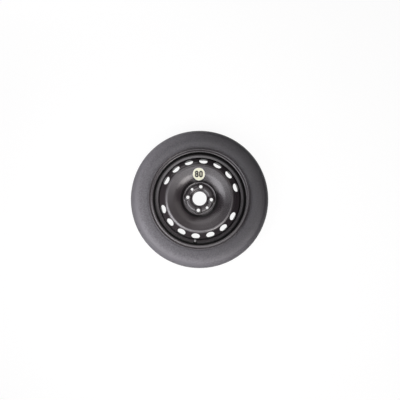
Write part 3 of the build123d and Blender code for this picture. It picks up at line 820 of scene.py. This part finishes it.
# Rubber body, brass insert and cap, each a section turned on the valve's axis
def makeValve():
    d, wall, fit = valveShape, rimShape["wall"], valveShape["fit"]
    inside, low, groove = d["insert"] + d["bond"], -wall - d["bulbLength"], rimShape["valveHole"] - fit
    rubber = [
        (inside, d["rubberHeight"] / 2), (inside, low), (d["bulb"] - d["bulbTaper"], low),
        (d["bulb"], low + d["bulbTaper"]), (d["bulb"], -wall - fit - d["bearingDepth"]), (d["bearing"], -wall - fit),
        (groove, -wall - fit), (groove, fit), (d["shoulder"], fit), (d["shoulder"], d["shoulderHeight"]),
        (d["neck"], d["neckHeight"]), (d["tip"], d["rubberHeight"]), (inside, d["rubberHeight"]),
        (inside, d["rubberHeight"] / 2),
    ]
    piece = valveTurning("valveStem", rubber, d["rubberRounds"], d["rubberRows"], True)
    dress(piece, "wheel", smallMaterial("valveRubber"), "valve_rubber")

    # brass insert; its thread is a triangle wave of height and angle cut into the outer wall
    top, start, middle = d["insertHeight"], d["rubberHeight"] + d["bond"], d["insertHeight"] - d["coreDepth"]
    insert = [
        (d["insert"], 0), (d["insert"], start), (d["thread"], start), (d["thread"], top - d["chamfer"]),
        (d["thread"] - d["chamfer"], top), (d["coreBore"], top), (d["coreBore"], middle),
        (d["throat"], middle - d["throatCone"]), (d["throat"], d["throatStart"] + d["throatLead"]),
        (d["passage"], d["throatStart"]), (d["passage"], low), (d["insert"], low), (d["insert"], 0),
    ]

    def thread(r, h, angle):
        wave = np.abs(((h / d["threadPitch"] - angle / turn) % 1) * 2 - 1)
        ends = np.clip((h - start - 0.3) / 0.5, 0, 1) * np.clip((top - 0.4 - h) / 0.4, 0, 1)  # runs in and out
        return d["threadDepth"] * wave * ends * (r > d["thread"] - d["chamfer"] / 2)

    rounds = [d["insertRound"]] * (len(insert) - 2)
    piece = valveTurning("valveInsert", insert, rounds, d["insertRows"], True, thread)
    dress(piece, "wheel", smallMaterial("turnedBrass"), "valve_insert")

    # cap; its flutes are a rounded wave of the angle that fades out above the foot and below the top
    cap = [
        (0, d["capTop"]), (d["cap"], d["capTop"]), (d["cap"], d["capStart"]), (d["capBore"], d["capStart"]),
        (d["capBore"], d["capCeiling"]), (0, d["capCeiling"]),
    ]

    def flutes(r, h, angle):
        fade = np.clip((h - d["capStart"] - 1.0) / 0.8, 0, 1) * np.clip((d["capTop"] - 1.6 - h) / 0.8, 0, 1)
        return d["fluteDepth"] * (0.5 + 0.5 * np.cos(d["flutes"] * angle)) * fade * (r > d["cap"] - 0.3)

    piece = valveTurning("valveCap", cap, d["capRounds"], d["capRows"], False, flutes)
    dress(piece, "cap", smallMaterial("capPlastic"), "valve_cap")


springShape = {
    "radius": 1.0, "wire": 0.13, "turns": 4, "low": 17.65, "high": 22.95, "travel": 1.5, "rows": 160, "columns": 10,
}


# Spring of the core: a round wire carried up a helix on the valve's axis, drawn to a point at both ends.
def makeSpring():
    d = springShape
    along = np.r_[0, np.linspace(0, 1, d["rows"]), 1][:, None]
    wire = np.r_[0, np.full(d["rows"], d["wire"]), 0][:, None]
    around = np.linspace(0, turn, d["columns"] + 1)[:-1]
    length = d["high"] - d["low"]
    r = d["radius"] + wire * np.cos(around)
    h = d["low"] + d["wire"] + along * (length - 2 * d["wire"]) + wire * np.sin(around)
    piece = shell("valveSpring", [gridPatch(onValve(r, h, turn * d["turns"] * along), False, True)], 50)
    dress(piece, "wheel", smallMaterial("springWire"), "core_spring")
    foot, axis = onValve(0, d["low"], 0) * mm, onValve(0, 1, 0) - onValve(0, 0, 0)
    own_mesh(piece)


# Small pieces of the valve that keep their shape from the frame and get a finish
smallFinishes = {
    "core_housing": "platedBrass", "core_pin": "platedBrass", "core_ring": "sealRing",
    "core_cup": "sealRubber", "cap_washer": "sealRubber",
}


def finishSmallPieces():
    made = {name: smallMaterial(name) for name in sorted(set(smallFinishes.values()))}
    for node, name in smallFinishes.items():
        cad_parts[node].data.materials.clear()
        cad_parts[node].data.materials.append(made[name])


# Camera, floor and light

viewSettings = {
    "distance": 1.3, "focalPixels": 312.5, "imagePixels": 400, "tilt": math.radians(-3.4), "roll": math.radians(5.9),
    "hubPixel": (199.57, 198.6), "sensor": 36,
}
photoUp = Vector((-math.sin(viewSettings["roll"]), math.cos(viewSettings["roll"]), 0))
photoRight = Vector((math.cos(viewSettings["roll"]), math.sin(viewSettings["roll"]), 0))


# Camera on a line through the hub that leans from the wheel's axis; the shift puts the hub at its pixel of the picture
def makeCamera():
    v = viewSettings
    data = bpy.data.cameras.new("photoCamera")
    camera = bpy.data.objects.new("photoCamera", data)
    bpy.context.scene.collection.objects.link(camera)
    back = Vector((0, 0, 1)) * math.cos(v["tilt"]) + photoUp * math.sin(v["tilt"])
    place = Matrix((photoRight, back.cross(photoRight), back)).transposed().to_4x4()
    place.translation = back * v["distance"]
    camera.matrix_world = place
    data.sensor_width = v["sensor"]
    data.lens = v["sensor"] * v["focalPixels"] / v["imagePixels"]
    middle = v["imagePixels"] / 2
    data.shift_x = (middle - v["hubPixel"][0]) / v["imagePixels"]
    data.shift_y = (v["hubPixel"][1] - middle) / v["imagePixels"]
    bpy.context.scene.camera = camera


floorLook = {"glow": 0.92, "white": 0.12, "radius": 28.0, "wall": 5.0, "corners": 64}


# Round floor with a low wall: white to the camera and to mirror rays, and a little plain white that takes the shadow
def makeFloor():
    d = floorLook
    low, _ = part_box("tyre")
    angle = np.linspace(0, turn, d["corners"], endpoint=False)
    x, y = d["radius"] * np.cos(angle), d["radius"] * np.sin(angle)
    rings = [np.stack([x, y, np.full(d["corners"], z)], 1) for z in (low.z, low.z + d["wall"])]
    first = np.arange(d["corners"])
    after = np.roll(first, -1)
    wall = np.stack([after, first, first + d["corners"], after + d["corners"]], 1)
    mesh = bpy.data.meshes.new("floor")
    mesh.from_pydata(np.concatenate(rings).tolist(), [], [first.tolist()] + wall.tolist())
    floor = bpy.data.objects.new("floor", mesh)
    bpy.context.scene.collection.objects.link(floor)
    material, wire, _ = newMaterial("whiteFloor")
    kinds = ("Is Camera Ray", "Is Glossy Ray", "Is Transmission Ray")
    camera, mirror, through = [wire.node("ShaderNodeLightPath", {}, {}, kind) for kind in kinds]
    glow = wire.node("ShaderNodeEmission", {}, {"Strength": camera.max(mirror).max(through) * d["glow"]})
    plain = wire.node("ShaderNodeBsdfDiffuse", {}, {"Color": grey(d["white"])})
    both = wire.node("ShaderNodeAddShader", {}, {0: glow, 1: plain})
    wire.tree.links.new(both.socket, wire.tree.nodes["Material Output"].inputs["Surface"])
    mesh.materials.append(material)


# lamp: clock angle in the picture, lean from the axis (degrees), distance, width, height (metres), watts, colour
lamps = {
    "broadLamp": (238, 31, 1.00, 0.56, 0.56, 4.15, (0.97, 0.95, 1.0)),
    "lowLamp": (205, 49, 1.50, 2.4, 0.36, 3.8, (1.0, 0.96, 0.98)),
    "smallLamp": (142, 32, 1.90, 0.7, 0.8, 8.4, (1.0, 0.95, 0.94)),
    "topLamp": (342, 34, 1.90, 1.2, 0.95, 4.6, (1.0, 0.96, 0.98)),
    "rightLamp": (50, 37, 1.90, 1.2, 1.0, 2.1, (1.0, 0.96, 0.93)),
    "backLamp": (335, 83, 1.50, 1.2, 0.36, 2.3, (1.0, 0.96, 0.98)),
    "frontLamp": (170, 16, 2.20, 1.6, 1.6, 8.8, (1.0, 0.97, 1.0)),
    "nearLamp": (150, 6.5, 2.20, 0.5, 0.5, 1.2, (1.0, 0.97, 1.0)),
}
worldGrey = 0.03


# Each lamp stands off the hub along a line given by its clock angle and lean, and faces it
def makeLight():
    for name, (clock, lean, distance, wide, high, watts, colour) in lamps.items():
        data = bpy.data.lights.new(name, "AREA")
        data.shape, data.size, data.size_y, data.energy, data.color = "RECTANGLE", wide, high, watts, colour
        lamp = bpy.data.objects.new(name, data)
        bpy.context.scene.collection.objects.link(lamp)
        clock, lean = math.radians(clock), math.radians(lean)
        side = photoRight * math.sin(clock) + photoUp * math.cos(clock)
        aim = Vector((0, 0, 1)) * math.cos(lean) + side * math.sin(lean)
        lamp.location = aim * distance
        lamp.rotation_mode = "QUATERNION"
        lamp.rotation_quaternion = aim.to_track_quat("Z", "Y")
    world = bpy.data.worlds.new("studio")
    bpy.context.scene.world = world
    world.use_nodes = True
    world.node_tree.nodes["Background"].inputs["Color"].default_value = grey(worldGrey)


bpy.context.scene.view_settings.view_transform = "Standard"
enamel = enamelMaterial()
makeDisc(enamel)
makeRim(enamel)
makeWelds(enamel)
makeTyre(tyreMaterial())
makeSticker(photoRight, photoUp)
makeValve()
makeSpring()
finishSmallPieces()
print("pieces made")
makeCamera()
makeFloor()
makeLight()
print("stage set")
